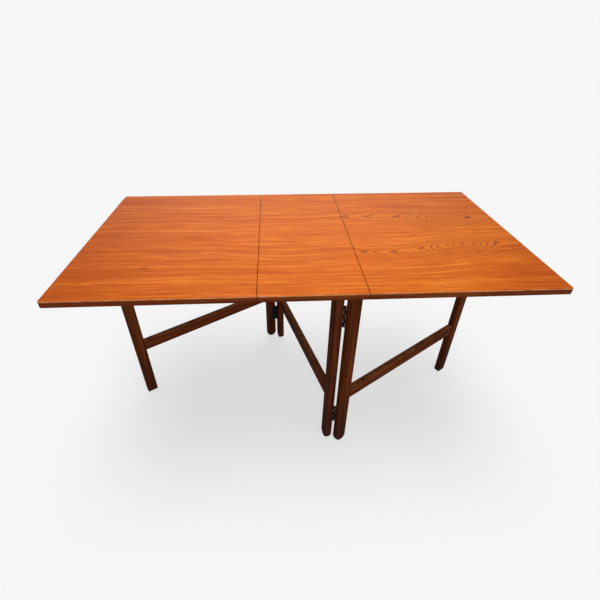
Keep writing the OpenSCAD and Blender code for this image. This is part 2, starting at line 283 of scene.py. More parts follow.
def makeStudio(spec):
    scene = bpy.context.scene
    scene.view_settings.view_transform = "Standard"
    bpy.ops.object.select_all(action="DESELECT")
    bpy.ops.mesh.primitive_plane_add(size=spec["floorSize"], location=(0, 0, 0))
    floor = bpy.context.object
    floor.name = "floor"
    material, tree = newMaterial("pale floor")
    paper = addNode(tree, "ShaderNodeBsdfDiffuse", {"Color": toLinear(spec["floorColour"])})
    glow = addNode(tree, "ShaderNodeEmission", {"Strength": spec["floorGlow"]})
    both = addNode(tree, "ShaderNodeAddShader", {0: paper.outputs[0], 1: glow.outputs[0]})
    addNode(tree, "ShaderNodeOutputMaterial", {"Surface": both.outputs[0]})
    floor.data.materials.append(material)
    floor.visible_diffuse = False   # the bright paper doesn't light the shaded wood from below
    floor.visible_glossy = False
    # a pale backdrop all round, seen but neither lighting nor mirrored
    bpy.ops.object.select_all(action="DESELECT")
    segments, rings = spec["backdropSides"]
    bpy.ops.mesh.primitive_uv_sphere_add(
        segments=segments, ring_count=rings, radius=spec["backdropRadius"],
    )
    backdrop = bpy.context.object
    backdrop.name = "backdrop"
    bpy.ops.object.shade_smooth()
    material, tree = newMaterial("pale backdrop")
    pale = addNode(tree, "ShaderNodeEmission", {"Strength": spec["backdropLevel"]})
    addNode(tree, "ShaderNodeOutputMaterial", {"Surface": pale.outputs[0]})
    backdrop.data.materials.append(material)
    backdrop.visible_diffuse = False
    backdrop.visible_glossy = False
    backdrop.visible_shadow = False
    world = bpy.data.worlds.new("soft white room")
    world.use_nodes = True
    room = world.node_tree
    room.nodes.clear()
    direction = addNode(room, "ShaderNodeTexCoord").outputs["Generated"]
    parts = addNode(room, "ShaderNodeSeparateXYZ", {0: direction})
    height = addNode(room, "ShaderNodeMath", {
        0: parts.outputs[2], 1: 0.5, 2: 0.5,
    }, operation="MULTIPLY_ADD")
    level = addNode(room, "ShaderNodeValToRGB", {"Fac": height.outputs[0]})
    fillRamp(level, [((z + 1) / 2, grey) for z, grey in spec["dome"]])
    window = spec["windowLevel"]
    for part, (low, high), (start, end) in (
        (2, spec["windowFrom"], (0.0, 1.0)),
        (2, spec["windowTo"], (1.0, 0.0)),
        (1, spec["windowSide"], (0.0, 1.0)),
    ):
        edge = addNode(room, "ShaderNodeMapRange", {
            "Value": parts.outputs[part], "From Min": low, "From Max": high,
            "To Min": start, "To Max": end,
        }, interpolation_type="SMOOTHSTEP").outputs[0]
        window = addNode(room, "ShaderNodeMath", {0: edge, 1: window}, operation="MULTIPLY").outputs[0]
    strength = addNode(room, "ShaderNodeMath", {
        0: level.outputs[0], 1: window,
    }, operation="ADD").outputs[0]
    facing = addNode(room, "ShaderNodeVectorMath", {
        0: direction, 1: spec["fillFrom"],
    }, operation="DOT_PRODUCT").outputs["Value"]
    fill = addNode(room, "ShaderNodeMapRange", {
        "Value": facing, "From Min": spec["fillSpread"][0], "From Max": spec["fillSpread"][1],
        "To Min": 0.0, "To Max": spec["fillLevel"],
    }, interpolation_type="SMOOTHSTEP").outputs[0]
    strength = addNode(room, "ShaderNodeMath", {0: strength, 1: fill}, operation="ADD").outputs[0]
    sky = addNode(room, "ShaderNodeBackground", {"Strength": strength, "Color": (1, 1, 1, 1)})
    addNode(room, "ShaderNodeOutputWorld", {"Surface": sky.outputs[0]})
    scene.world = world
    lamp = bpy.data.lights.new("overhead", "SUN")
    lamp.energy = spec["sun"]
    lamp.angle = math.radians(spec["sunSpread"])
    sun = bpy.data.objects.new("overhead", lamp)
    sun.visible_glossy = False   # neither lamp leaves a bright patch in the oiled top
    scene.collection.objects.link(sun)
    tiltX, tiltY = (math.radians(a) for a in spec["sunTilt"])
    tilt = Matrix.Rotation(tiltX, 4, "X") @ Matrix.Rotation(tiltY, 4, "Y")
    sun.matrix_world = Matrix.Translation((0, 0, spec["sunHeight"])) @ tilt
    lamp = bpy.data.lights.new("soft box", "AREA")
    lamp.energy = spec["lampPower"]
    lamp.shape = "RECTANGLE"
    lamp.size, lamp.size_y = spec["lampSize"]
    box = bpy.data.objects.new("soft box", lamp)
    box.visible_glossy = False
    scene.collection.objects.link(box)
    box.matrix_world = Matrix.Translation(spec["lampPlace"])
    # the soft box lights the table only, so that the floor stays even
    unlit = bpy.data.collections.new("not lit by the soft box")
    unlit.objects.link(floor)
    unlit.collection_objects[0].light_linking.link_state = "EXCLUDE"
    box.light_linking.receiver_collection = unlit


makeStudio(studio)
print("studio: floor and light made")


# ---- materials ----

boardHalf = cadBox[1].x

# Teak veneer, sanded and oiled: a soft satin sheen, long straight grain, fine open pores, and
# on the right leaf two flat-cut figures whose rings close into ovals.
topFinish = {
    "tones": ("#8c3404", "#ae4d06", "#c2600a", "#da8526"),
    "ringTone": "#6a2606",
    "bandSize": (1.2, 0.021),      # length and width of the broad bands, metres
    "streakSize": (0.26, 0.0034),
    "lineSize": (0.085, 0.0015),
    "poreSize": (0.011, 0.0007),   # drawn a little coarser than the real 0.3 mm
    "ringSpacing": 0.013,
    "ringShare": 0.95,
    "ringStart": 0.04,
    "ringStops": ((0.0, 0.06), (0.07, 1.0), (0.17, 0.9), (0.32, 0.12), (1.0, 0.0)),
    "roughness": (0.34, 0.44),
    "toneStops": (0.14, 0.42, 0.60, 0.86),
    "toneShares": (0.60, 0.95, 1.10),      # of the bands, streaks and lines
    "wanderSize": (0.45, 0.13),
    "wander": 0.014,               # how far the grain strays, metres
    "trembleSize": (0.035, 0.012),
    "tremble": 0.010,
    "trembleShare": 0.35,
    "toOvals": (0.26, 0.44),       # where along the top the flames turn into ovals
    "leafStart": (0.10, 0.19),     # where the rings fade in
    "axisSpan": (-0.2, 0.2),       # the range of each drawn curve
    "depthSpan": (0.0, 0.15),
    "axisBlend": 0.012,            # how gently one side of an axis passes into the other
    "figureReach": (0.088, 0.122),
    "tailReach": (0.0008, 0.0060),
    "tailFrom": (0.30, 0.62),
    "tailShare": (0.10, 0.42),
    "patchFrom": (0.34, 0.58),     # where the rings are rubbed faint
    "patchShare": (0.45, 1.0),
    "markEdge": 1.6,
    "joinLine": -0.008,            # the front and back widths of veneer meet here
    "meanAxis": (-0.125, 0.122),   # front and back, taken off so that the grain starts straight
    "besideReach": (0.12, 0.24),
    "besideShare": (0.85, 0.12),
    # painted shade: the top darkens towards its left end and its front right corner
    "leftShadeSpan": (-0.36, -0.72),
    "leftShadeLevel": (0.51, 0.42),
    "cornerShadeSlope": -0.8,
    "cornerShadeReach": (0.66, 0.98),
    "cornerShadeLevel": -0.11,
    "figureLevel": 0.09,
    "figureCalm": 0.55,
    "poreFrom": (0.58, 0.72),
    "poreShare": 0.52,
    "poreRelief": (0.25, 0.0002),  # strength, and depth in metres
    "sheen": 0.50,
}
# Where the two figures run, from places measured along the top: the line of the axis, how far
# the cut lies from the heart of the tree, and how much narrower than round the rings are on
# each side of the axis, at the point of the flame and at the ovals.
figures = (
    {
        "axis": ((-0.73, 0.118), (-0.50, 0.123), (-0.30, 0.115), (-0.15, 0.127), (0.0, 0.125),
                 (0.165, 0.135), (0.262, 0.135), (0.375, 0.130), (0.545, 0.115), (0.73, 0.112)),
        "depth": ((-0.73, 0.100), (0.05, 0.098), (0.165, 0.091), (0.262, 0.078), (0.375, 0.065),
                  (0.415, 0.052), (0.45, 0.039), (0.485, 0.026), (0.54, 0.004), (0.59, 0.026),
                  (0.605, 0.039), (0.63, 0.052), (0.73, 0.062)),
        "tight": (1.5, 1.5, 1.25, 1.25),
    },
    {
        "axis": ((-0.73, -0.106), (-0.55, -0.112), (-0.40, -0.124), (-0.30, -0.122), (-0.18, -0.142),
                 (-0.02, -0.148), (0.07, -0.138), (0.13, -0.134), (0.185, -0.145), (0.285, -0.146),
                 (0.385, -0.125), (0.53, -0.103), (0.64, -0.098), (0.73, -0.098)),
        "depth": ((-0.73, 0.118), (0.05, 0.114), (0.185, 0.104), (0.225, 0.091), (0.285, 0.078),
                  (0.385, 0.065), (0.415, 0.052), (0.44, 0.039), (0.475, 0.026), (0.53, 0.006),
                  (0.59, 0.026), (0.612, 0.039), (0.64, 0.052), (0.73, 0.064)),
        "tight": (2.4, 2.0, 2.0, 1.05),
    },
)
# single marks in the veneer: x, y, half length, half width, strength
marks = (
    (-0.495, -0.222, 0.012, 0.0034, 1.0), (-0.685, -0.218, 0.060, 0.0018, 0.70),
    (-0.520, -0.219, 0.160, 0.0014, 0.30), (-0.700, -0.158, 0.022, 0.0022, 0.55),
    (-0.660, -0.296, 0.022, 0.0022, 0.55), (-0.600, -0.304, 0.012, 0.0020, 0.40),
    (-0.060, -0.153, 0.016, 0.0026, 0.70), (0.186, -0.145, 0.014, 0.0085, 0.75),
    (0.285, -0.150, 0.009, 0.0100, 0.60), (0.528, -0.099, 0.009, 0.0060, 0.75),
    (0.168, 0.135, 0.012, 0.0080, 0.50), (0.375, 0.132, 0.006, 0.0140, 0.50),
    (0.512, 0.108, 0.008, 0.0050, 0.50), (0.490, 0.065, 0.120, 0.0500, 0.12),
    (0.630, -0.160, 0.100, 0.0200, 0.06),
)


def grainNoise(tree, along, across, size, detail=2.0, seed=0.0):
    # noise stretched to a real length and width, read from the grain's own coordinates
    length, width = size
    stretched = addNode(tree, "ShaderNodeCombineXYZ", {
        0: addNode(tree, "ShaderNodeMath", {0: along, 1: 1 / length}, operation="MULTIPLY").outputs[0],
        1: addNode(tree, "ShaderNodeMath", {0: across, 1: 1 / width}, operation="MULTIPLY").outputs[0],
        2: seed,
    })
    noise = addNode(tree, "ShaderNodeTexNoise", {
        "Vector": stretched.outputs[0], "Scale": 1.0, "Detail": detail, "Roughness": 0.55,
    })
    return noise.outputs["Fac"]


def alongCurve(tree, share, points, low, high):
    # a curve drawn along the top, from real places and real heights
    curve = addNode(tree, "ShaderNodeFloatCurve", {"Value": share})
    fillCurve(curve, [((x + boardHalf) / (2 * boardHalf), (y - low) / (high - low)) for x, y in points])
    return addNode(tree, "ShaderNodeMath", {
        0: curve.outputs[0], 1: high - low, 2: low,
    }, operation="MULTIPLY_ADD").outputs[0]


def makeTopTeak(spec):
    material, tree = newMaterial("oiled teak veneer")
    place = addNode(tree, "ShaderNodeTexCoord").outputs["Object"]
    axes = addNode(tree, "ShaderNodeSeparateXYZ", {0: place})
    along, depth = axes.outputs[0], axes.outputs[1]
    share = addNode(tree, "ShaderNodeMath", {
        0: along, 1: 0.5 / boardHalf, 2: 0.5,
    }, operation="MULTIPLY_ADD").outputs[0]
    # slow wander of the grain, and a tremble along each line
    wander = grainNoise(tree, along, depth, spec["wanderSize"], detail=1.5, seed=3.1)
    wander = addNode(tree, "ShaderNodeMath", {
        0: wander, 1: spec["wander"], 2: -spec["wander"] / 2,
    }, operation="MULTIPLY_ADD").outputs[0]
    tremble = grainNoise(tree, along, depth, spec["trembleSize"], detail=2.0, seed=8.4)
    tremble = addNode(tree, "ShaderNodeMath", {
        0: tremble, 1: spec["tremble"], 2: -spec["tremble"] / 2,
    }, operation="MULTIPLY_ADD").outputs[0]
    toOvals = addNode(tree, "ShaderNodeMapRange", {
        "Value": along, "From Min": spec["toOvals"][0], "From Max": spec["toOvals"][1],
    }, interpolation_type="SMOOTHSTEP").outputs[0]
    onLeaf = addNode(tree, "ShaderNodeMapRange", {
        "Value": along, "From Min": spec["leafStart"][0], "From Max": spec["leafStart"][1],
    }, interpolation_type="SMOOTHSTEP").outputs[0]
    radii, offsets, closeness, tails = [], [], [], []
    for figure in figures:
        axis = alongCurve(tree, share, figure["axis"], *spec["axisSpan"])
        heart = alongCurve(tree, share, figure["depth"], *spec["depthSpan"])
        offset = addNode(tree, "ShaderNodeMath", {0: depth, 1: axis}, operation="SUBTRACT").outputs[0]
        offset = addNode(tree, "ShaderNodeMath", {0: offset, 1: wander}, operation="ADD").outputs[0]
        upFlame, downFlame, upOval, downOval = figure["tight"]
        tightUp = addNode(tree, "ShaderNodeMix", {
            "Factor": toOvals, 2: upFlame, 3: upOval,
        }, data_type="FLOAT").outputs[0]
        tightDown = addNode(tree, "ShaderNodeMix", {
            "Factor": toOvals, 2: downFlame, 3: downOval,
        }, data_type="FLOAT").outputs[0]
        above = addNode(tree, "ShaderNodeMapRange", {
            "Value": offset, "From Min": -spec["axisBlend"], "From Max": spec["axisBlend"],
        }).outputs[0]
        tight = addNode(tree, "ShaderNodeMix", {
            "Factor": above, 2: tightDown, 3: tightUp,
        }, data_type="FLOAT").outputs[0]
        squeezed = addNode(tree, "ShaderNodeMath", {
            0: offset, 1: tight,
        }, operation="MULTIPLY").outputs[0]
        square = addNode(tree, "ShaderNodeMath", {
            0: squeezed, 1: squeezed,
        }, operation="MULTIPLY").outputs[0]
        both = addNode(tree, "ShaderNodeMath", {
            0: heart, 1: heart, 2: square,
        }, operation="MULTIPLY_ADD").outputs[0]
        radius = addNode(tree, "ShaderNodeMath", {0: both}, operation="SQRT").outputs[0]
        radius = addNode(tree, "ShaderNodeMath", {0: tremble, 1: radius}, operation="ADD").outputs[0]
        near = addNode(tree, "ShaderNodeMapRange", {
            "Value": radius, "From Min": spec["figureReach"][0], "From Max": spec["figureReach"][1],
            "To Min": 1.0, "To Max": 0.0,
        }, interpolation_type="SMOOTHSTEP").outputs[0]
        away = addNode(tree, "ShaderNodeMath", {0: offset}, operation="ABSOLUTE").outputs[0]
        tail = addNode(tree, "ShaderNodeMapRange", {
            "Value": away, "From Min": spec["tailReach"][0], "From Max": spec["tailReach"][1],
            "To Min": 1.0, "To Max": 0.0,
        }, interpolation_type="SMOOTHSTEP").outputs[0]
        radii.append(radius)
        offsets.append(offset)
        closeness.append(near)
        tails.append(tail)
    # the veneer is laid in two widths that meet near the middle of the top
    backHalf = addNode(tree, "ShaderNodeMath", {
        0: depth, 1: spec["joinLine"],
    }, operation="GREATER_THAN").outputs[0]
    frontOffset = addNode(tree, "ShaderNodeMath", {
        0: offsets[1], 1: spec["meanAxis"][0],
    }, operation="ADD").outputs[0]
    radius = addNode(tree, "ShaderNodeMix", {
        "Factor": backHalf, 2: radii[1], 3: radii[0],
    }, data_type="FLOAT").outputs[0]
    backOffset = addNode(tree, "ShaderNodeMath", {
        0: offsets[0], 1: spec["meanAxis"][1],
    }, operation="ADD").outputs[0]
    offset = addNode(tree, "ShaderNodeMix", {
        "Factor": backHalf, 2: frontOffset, 3: backOffset,
    }, data_type="FLOAT").outputs[0]
    near = addNode(tree, "ShaderNodeMix", {
        "Factor": backHalf, 2: closeness[1], 3: closeness[0],
    }, data_type="FLOAT").outputs[0]
    inFigure = addNode(tree, "ShaderNodeMath", {0: near, 1: onLeaf}, operation="MULTIPLY").outputs[0]
    # the grain follows each axis closely beside it, and runs nearly straight further off
    beside = addNode(tree, "ShaderNodeMapRange", {
        "Value": radius, "From Min": spec["besideReach"][0], "From Max": spec["besideReach"][1],
        "To Min": spec["besideShare"][0], "To Max": spec["besideShare"][1],
    }, interpolation_type="SMOOTHSTEP").outputs[0]
    straight = addNode(tree, "ShaderNodeMath", {0: depth, 1: wander}, operation="ADD").outputs[0]
    lean = addNode(tree, "ShaderNodeMath", {0: offset, 1: straight}, operation="SUBTRACT").outputs[0]
    across = addNode(tree, "ShaderNodeMath", {
        0: lean, 1: beside, 2: straight,
    }, operation="MULTIPLY_ADD").outputs[0]
    across = addNode(tree, "ShaderNodeMath", {
        0: tremble, 1: spec["trembleShare"], 2: across,
    }, operation="MULTIPLY_ADD").outputs[0]
    bands = grainNoise(tree, along, across, spec["bandSize"], detail=2.0, seed=1.0)
    streaks = grainNoise(tree, along, across, spec["streakSize"], detail=3.0, seed=5.0)
    lines = grainNoise(tree, along, across, spec["lineSize"], detail=3.0, seed=9.0)
    pores = grainNoise(tree, along, depth, spec["poreSize"], detail=0.0, seed=2.0)
    # rings: a thin dark late-wood line, then a slow fade
    phase = addNode(tree, "ShaderNodeMath", {
        0: radius, 1: 1 / spec["ringSpacing"], 2: spec["ringStart"],
    }, operation="MULTIPLY_ADD").outputs[0]
    saw = addNode(tree, "ShaderNodeMath", {0: phase}, operation="FRACT").outputs[0]
    ringRamp = addNode(tree, "ShaderNodeValToRGB", {"Fac": saw})
    fillRamp(ringRamp, spec["ringStops"])
    patchy = addNode(tree, "ShaderNodeMapRange", {
        "Value": streaks, "From Min": spec["patchFrom"][0], "From Max": spec["patchFrom"][1],
        "To Min": spec["patchShare"][0], "To Max": spec["patchShare"][1],
    }).outputs[0]
    ringed = addNode(tree, "ShaderNodeMath", {0: inFigure, 1: patchy}, operation="MULTIPLY").outputs[0]
    ringed = addNode(tree, "ShaderNodeMath", {
        0: ringed, 1: ringRamp.outputs[0],
    }, operation="MULTIPLY").outputs[0]
    ringed = addNode(tree, "ShaderNodeMath", {
        0: ringed, 1: spec["ringShare"],
    }, operation="MULTIPLY").outputs[0]
    # the flames' points run on as one dark line along the other boards
    tail = addNode(tree, "ShaderNodeMix", {
        "Factor": backHalf, 2: tails[1], 3: tails[0],
    }, data_type="FLOAT").outputs[0]
    offLeaf = addNode(tree, "ShaderNodeMath", {0: 1.0, 1: onLeaf}, operation="SUBTRACT").outputs[0]
    tail = addNode(tree, "ShaderNodeMath", {0: tail, 1: offLeaf}, operation="MULTIPLY").outputs[0]
    broken = addNode(tree, "ShaderNodeMapRange", {
        "Value": bands, "From Min": spec["tailFrom"][0], "From Max": spec["tailFrom"][1],
        "To Min": spec["tailShare"][0], "To Max": spec["tailShare"][1],
    }).outputs[0]
    darkening = addNode(tree, "ShaderNodeMath", {
        0: tail, 1: broken, 2: ringed,
    }, operation="MULTIPLY_ADD").outputs[0]
    for x, y, halfLength, halfWidth, strength in marks:
        dx = addNode(tree, "ShaderNodeMath", {
            0: along, 1: 1 / halfLength, 2: -x / halfLength,
        }, operation="MULTIPLY_ADD").outputs[0]
        dy = addNode(tree, "ShaderNodeMath", {
            0: depth, 1: 1 / halfWidth, 2: -y / halfWidth,
        }, operation="MULTIPLY_ADD").outputs[0]
        dx2 = addNode(tree, "ShaderNodeMath", {0: dx, 1: dx}, operation="MULTIPLY").outputs[0]
        reach = addNode(tree, "ShaderNodeMath", {
            0: dy, 1: dy, 2: dx2,
        }, operation="MULTIPLY_ADD").outputs[0]
        spot = addNode(tree, "ShaderNodeMapRange", {
            "Value": reach, "From Min": 0.0, "From Max": spec["markEdge"],
            "To Min": strength, "To Max": 0.0,
        }, interpolation_type="SMOOTHSTEP").outputs[0]
        darkening = addNode(tree, "ShaderNodeMath", {
            0: darkening, 1: spot,
        }, operation="MAXIMUM").outputs[0]
    # tone from the bands, streaks and lines together; the figures are calmer between their rings
    calm = addNode(tree, "ShaderNodeMapRange", {
        "Value": inFigure, "To Min": 1.0, "To Max": spec["figureCalm"],
    }).outputs[0]
    tone = 0.0
    for noise, weight in zip((bands, streaks, lines), spec["toneShares"]):
        centred = addNode(tree, "ShaderNodeMath", {0: noise, 1: -0.5}, operation="ADD").outputs[0]
        tone = addNode(tree, "ShaderNodeMath", {
            0: centred, 1: weight, 2: tone,
        }, operation="MULTIPLY_ADD").outputs[0]
    # painted shade towards the left end and the front right corner; paler between the rings
    level = addNode(tree, "ShaderNodeMapRange", {
        "Value": along, "From Min": spec["leftShadeSpan"][0], "From Max": spec["leftShadeSpan"][1],
        "To Min": spec["leftShadeLevel"][0], "To Max": spec["leftShadeLevel"][1],
    }, interpolation_type="SMOOTHSTEP").outputs[0]
    cornerward = addNode(tree, "ShaderNodeMath", {
        0: depth, 1: spec["cornerShadeSlope"], 2: along,
    }, operation="MULTIPLY_ADD").outputs[0]
    cornerShade = addNode(tree, "ShaderNodeMapRange", {
        "Value": cornerward, "From Min": spec["cornerShadeReach"][0], "From Max": spec["cornerShadeReach"][1],
        "To Min": 0.0, "To Max": spec["cornerShadeLevel"],
    }, interpolation_type="SMOOTHSTEP").outputs[0]
    level = addNode(tree, "ShaderNodeMath", {0: level, 1: cornerShade}, operation="ADD").outputs[0]
    level = addNode(tree, "ShaderNodeMath", {
        0: inFigure, 1: spec["figureLevel"], 2: level,
    }, operation="MULTIPLY_ADD").outputs[0]
    tone = addNode(tree, "ShaderNodeMath", {
        0: tone, 1: calm, 2: level,
    }, operation="MULTIPLY_ADD").outputs[0]
    ramp = addNode(tree, "ShaderNodeValToRGB", {"Fac": tone})
    fillRamp(ramp, list(zip(spec["toneStops"], spec["tones"])))
    colour = addNode(tree, "ShaderNodeMix", {
        "Factor": darkening, 6: ramp.outputs[0], 7: toLinear(spec["ringTone"]),
    }, data_type="RGBA").outputs[2]
    poreMask = addNode(tree, "ShaderNodeMapRange", {
        "Value": pores, "From Min": spec["poreFrom"][0], "From Max": spec["poreFrom"][1],
        "To Min": 0.0, "To Max": spec["poreShare"],
    }).outputs[0]
    colour = addNode(tree, "ShaderNodeMix", {
        "Factor": poreMask, 6: colour, 7: toLinear(spec["ringTone"]),
    }, data_type="RGBA").outputs[2]
    rough = addNode(tree, "ShaderNodeMapRange", {
        "Value": lines, "From Min": 0.3, "From Max": 0.7, "To Min": spec["roughness"][0],
        "To Max": spec["roughness"][1],
    }).outputs[0]
    reliefShare, reliefDepth = spec["poreRelief"]
    relief = addNode(tree, "ShaderNodeBump", {
        "Height": poreMask, "Strength": reliefShare, "Distance": reliefDepth,
    }, invert=True)
    wood = addNode(tree, "ShaderNodeBsdfPrincipled", {
        "Base Color": colour, "Roughness": rough, "IOR": 1.5, "Specular IOR Level": spec["sheen"],
        "Normal": relief.outputs[0],
    })
    addNode(tree, "ShaderNodeOutputMaterial", {"Surface": wood.outputs[0]})
    return material


# Solid teak, oiled dark: close straight grain that runs the length of each piece.
solidTeak = {
    # length and width of the bands, streaks and pores, metres, and the detail of each
    "grain": ((0.50, 0.018, 2.0), (0.16, 0.0035, 3.0), (0.012, 0.0007, 0.0)),
    "grainRoughness": 0.55,
    "bandShare": 0.65,
    "streakShare": 0.55,
    "toneStops": (0.38, 0.60, 0.80),
    "darkerUpTo": 0.34,               # the posts are darker up to here
    "darkerShare": 0.72,
    "highlightPatchScale": 26.0,
    "highlightPatchFrom": (0.36, 0.56),     # the patches of painted highlight along a top arris
    "highlightPatchShare": (0.35, 1.0),
    "poreFrom": (0.60, 0.74),
    "poreShare": 0.5,
    "poreRelief": (0.3, 0.0002),  # strength, and depth in metres
    "sheen": 0.09,
    "roughSpread": (-0.05, 0.08),
}


def makeSolidTeak(name, tones, turn=0.0, upright=False, seed=0.0, highlightAbove=None, roughness=0.46):
    # turn: the direction of the grain in plan; upright: True where it runs up the piece
    spec = solidTeak
    material, tree = newMaterial(name)
    place = addNode(tree, "ShaderNodeTexCoord").outputs["Object"]
    rotation = (0, math.radians(-90), 0) if upright else (0, 0, turn)
    noises = []
    for length, width, detail in spec["grain"]:
        stretched = addNode(tree, "ShaderNodeMapping", {
            "Vector": place, "Location": (seed, 0.31 * seed, 0.17 * seed), "Rotation": rotation,
            "Scale": (length, width, width),
        }, vector_type="TEXTURE")
        noise = addNode(tree, "ShaderNodeTexNoise", {
            "Vector": stretched.outputs[0], "Scale": 1.0, "Detail": detail,
            "Roughness": spec["grainRoughness"],
        })
        noises.append(noise.outputs["Fac"])
    bands, streaks, pores = noises
    tone = addNode(tree, "ShaderNodeMath", {
        0: streaks, 1: spec["streakShare"], 2: 0.0,
    }, operation="MULTIPLY_ADD").outputs[0]
    tone = addNode(tree, "ShaderNodeMath", {
        0: bands, 1: spec["bandShare"], 2: tone,
    }, operation="MULTIPLY_ADD").outputs[0]
    ramp = addNode(tree, "ShaderNodeValToRGB", {"Fac": tone})
    fillRamp(ramp, list(zip(spec["toneStops"], tones)))
    colour = ramp.outputs[0]
    if upright:
        # darker towards the bottom of the post
        height = addNode(tree, "ShaderNodeSeparateXYZ", {0: place}).outputs[2]
        lowerDarkening = addNode(tree, "ShaderNodeMapRange", {
            "Value": height, "From Min": 0.0, "From Max": spec["darkerUpTo"],
            "To Min": spec["darkerShare"], "To Max": 0.0,
        }, interpolation_type="SMOOTHSTEP").outputs[0]
        colour = addNode(tree, "ShaderNodeMix", {
            "Factor": lowerDarkening, 6: colour, 7: toLinear(tones[0]),
        }, data_type="RGBA").outputs[2]
    if highlightAbove is not None:
        # painted highlight along the top arris, broken into patches
        height = addNode(tree, "ShaderNodeSeparateXYZ", {0: place}).outputs[2]
        patches = addNode(tree, "ShaderNodeTexNoise", {
            "Vector": place, "Scale": spec["highlightPatchScale"], "Detail": 3.0,
        }).outputs["Fac"]
        edge = addNode(tree, "ShaderNodeMapRange", {
            "Value": height, "From Min": highlightAbove[0], "From Max": highlightAbove[1],
        }).outputs[0]
        patchy = addNode(tree, "ShaderNodeMapRange", {
            "Value": patches, "From Min": spec["highlightPatchFrom"][0], "From Max": spec["highlightPatchFrom"][1],
            "To Min": spec["highlightPatchShare"][0], "To Max": spec["highlightPatchShare"][1],
        }).outputs[0]
        paintedHighlight = addNode(tree, "ShaderNodeMath", {0: edge, 1: patchy}, operation="MULTIPLY").outputs[0]
        colour = addNode(tree, "ShaderNodeMix", {
            "Factor": paintedHighlight, 6: colour, 7: toLinear(highlightAbove[2]),
        }, data_type="RGBA").outputs[2]
    poreMask = addNode(tree, "ShaderNodeMapRange", {
        "Value": pores, "From Min": spec["poreFrom"][0], "From Max": spec["poreFrom"][1],
        "To Min": 0.0, "To Max": spec["poreShare"],
    }).outputs[0]
    colour = addNode(tree, "ShaderNodeMix", {
        "Factor": poreMask, 6: colour, 7: toLinear(tones[0]),
    }, data_type="RGBA").outputs[2]
    reliefShare, reliefDepth = spec["poreRelief"]
    relief = addNode(tree, "ShaderNodeBump", {
        "Height": poreMask, "Strength": reliefShare, "Distance": reliefDepth,
    }, invert=True)
    rough = addNode(tree, "ShaderNodeMapRange", {
        "Value": streaks, "From Min": 0.3, "From Max": 0.7,
        "To Min": roughness + spec["roughSpread"][0], "To Max": roughness + spec["roughSpread"][1],
    }).outputs[0]
    wood = addNode(tree, "ShaderNodeBsdfPrincipled", {
        "Base Color": colour, "Roughness": rough, "IOR": 1.5, "Specular IOR Level": spec["sheen"],
        "Normal": relief.outputs[0],
    })
    addNode(tree, "ShaderNodeOutputMaterial", {"Surface": wood.outputs[0]})
    return material


# Chipboard core: pressed flakes, matt, only seen in the screw holes and hinge pockets.
coreSpec = {
    "flakeScale": 420.0,
    "tones": ((0.0, "#c9a675"), (0.5, "#a98253"), (1.0, "#7d5b36")),
    "relief": (0.5, 0.0004),
    "roughness": 0.9,
}


def makeCore(spec):
    material, tree = newMaterial("chipboard core")
    place = addNode(tree, "ShaderNodeTexCoord").outputs["Object"]
    flakes = addNode(tree, "ShaderNodeTexVoronoi", {"Vector": place, "Scale": spec["flakeScale"]})
    ramp = addNode(tree, "ShaderNodeValToRGB", {"Fac": flakes.outputs["Distance"]})
    fillRamp(ramp, spec["tones"])
    reliefShare, reliefDepth = spec["relief"]
    relief = addNode(tree, "ShaderNodeBump", {
        "Height": flakes.outputs["Distance"], "Strength": reliefShare, "Distance": reliefDepth,
    })
    board = addNode(tree, "ShaderNodeBsdfPrincipled", {
        "Base Color": ramp.outputs[0], "Roughness": spec["roughness"], "IOR": 1.45,
        "Normal": relief.outputs[0],
    })
    addNode(tree, "ShaderNodeOutputMaterial", {"Surface": board.outputs[0]})
    return material


# Steel: blackened on the hinges, with the black rubbed thin in places; plain and dulled on the screws.
steelSpec = {
    "mottleScale": 160.0,
    "gritScale": 900.0,
    "toneStops": (0.35, 0.55, 0.75),
    "relief": (0.08, 0.0001),
}


def makeSteel(name, tones, metallic, roughness):
    spec = steelSpec
    material, tree = newMaterial(name)
    place = addNode(tree, "ShaderNodeTexCoord").outputs["Object"]
    mottle = addNode(tree, "ShaderNodeTexNoise", {
        "Vector": place, "Scale": spec["mottleScale"], "Detail": 4.0,
    }).outputs["Fac"]
    grit = addNode(tree, "ShaderNodeTexNoise", {
        "Vector": place, "Scale": spec["gritScale"], "Detail": 2.0,
    }).outputs["Fac"]
    ramp = addNode(tree, "ShaderNodeValToRGB", {"Fac": mottle})
    fillRamp(ramp, list(zip(spec["toneStops"], tones)))
    rough = addNode(tree, "ShaderNodeMapRange", {
        "Value": mottle, "From Min": 0.3, "From Max": 0.7,
        "To Min": roughness[0], "To Max": roughness[1],
    }).outputs[0]
    reliefShare, reliefDepth = spec["relief"]
    relief = addNode(tree, "ShaderNodeBump", {
        "Height": grit, "Strength": reliefShare, "Distance": reliefDepth,
    })
    steel = addNode(tree, "ShaderNodeBsdfPrincipled", {
        "Base Color": ramp.outputs[0], "Metallic": metallic, "Roughness": rough,
        "Normal": relief.outputs[0],
    })
    addNode(tree, "ShaderNodeOutputMaterial", {"Surface": steel.outputs[0]})
    return material


# painted highlight along a top arris: how far below the top face it starts and is complete
arrisHighlights = {
    "board": (0.0026, 0.0012, "#dca478"),
    "rail": (0.0022, 0.0006, "#b06a3a"),
}


def highlightBelow(topFace, kind):
    start, full, tone = arrisHighlights[kind]
    return topFace - start, topFace - full, tone


postLine = middleOf("back_frame_post") - middleOf("front_frame_post")
gateLine = middleOf("right_gate_leg") - middleOf("right_gate_post")
frameTurn = math.atan2(postLine.y, postLine.x)
gateTurn = math.atan2(gateLine.y, gateLine.x)

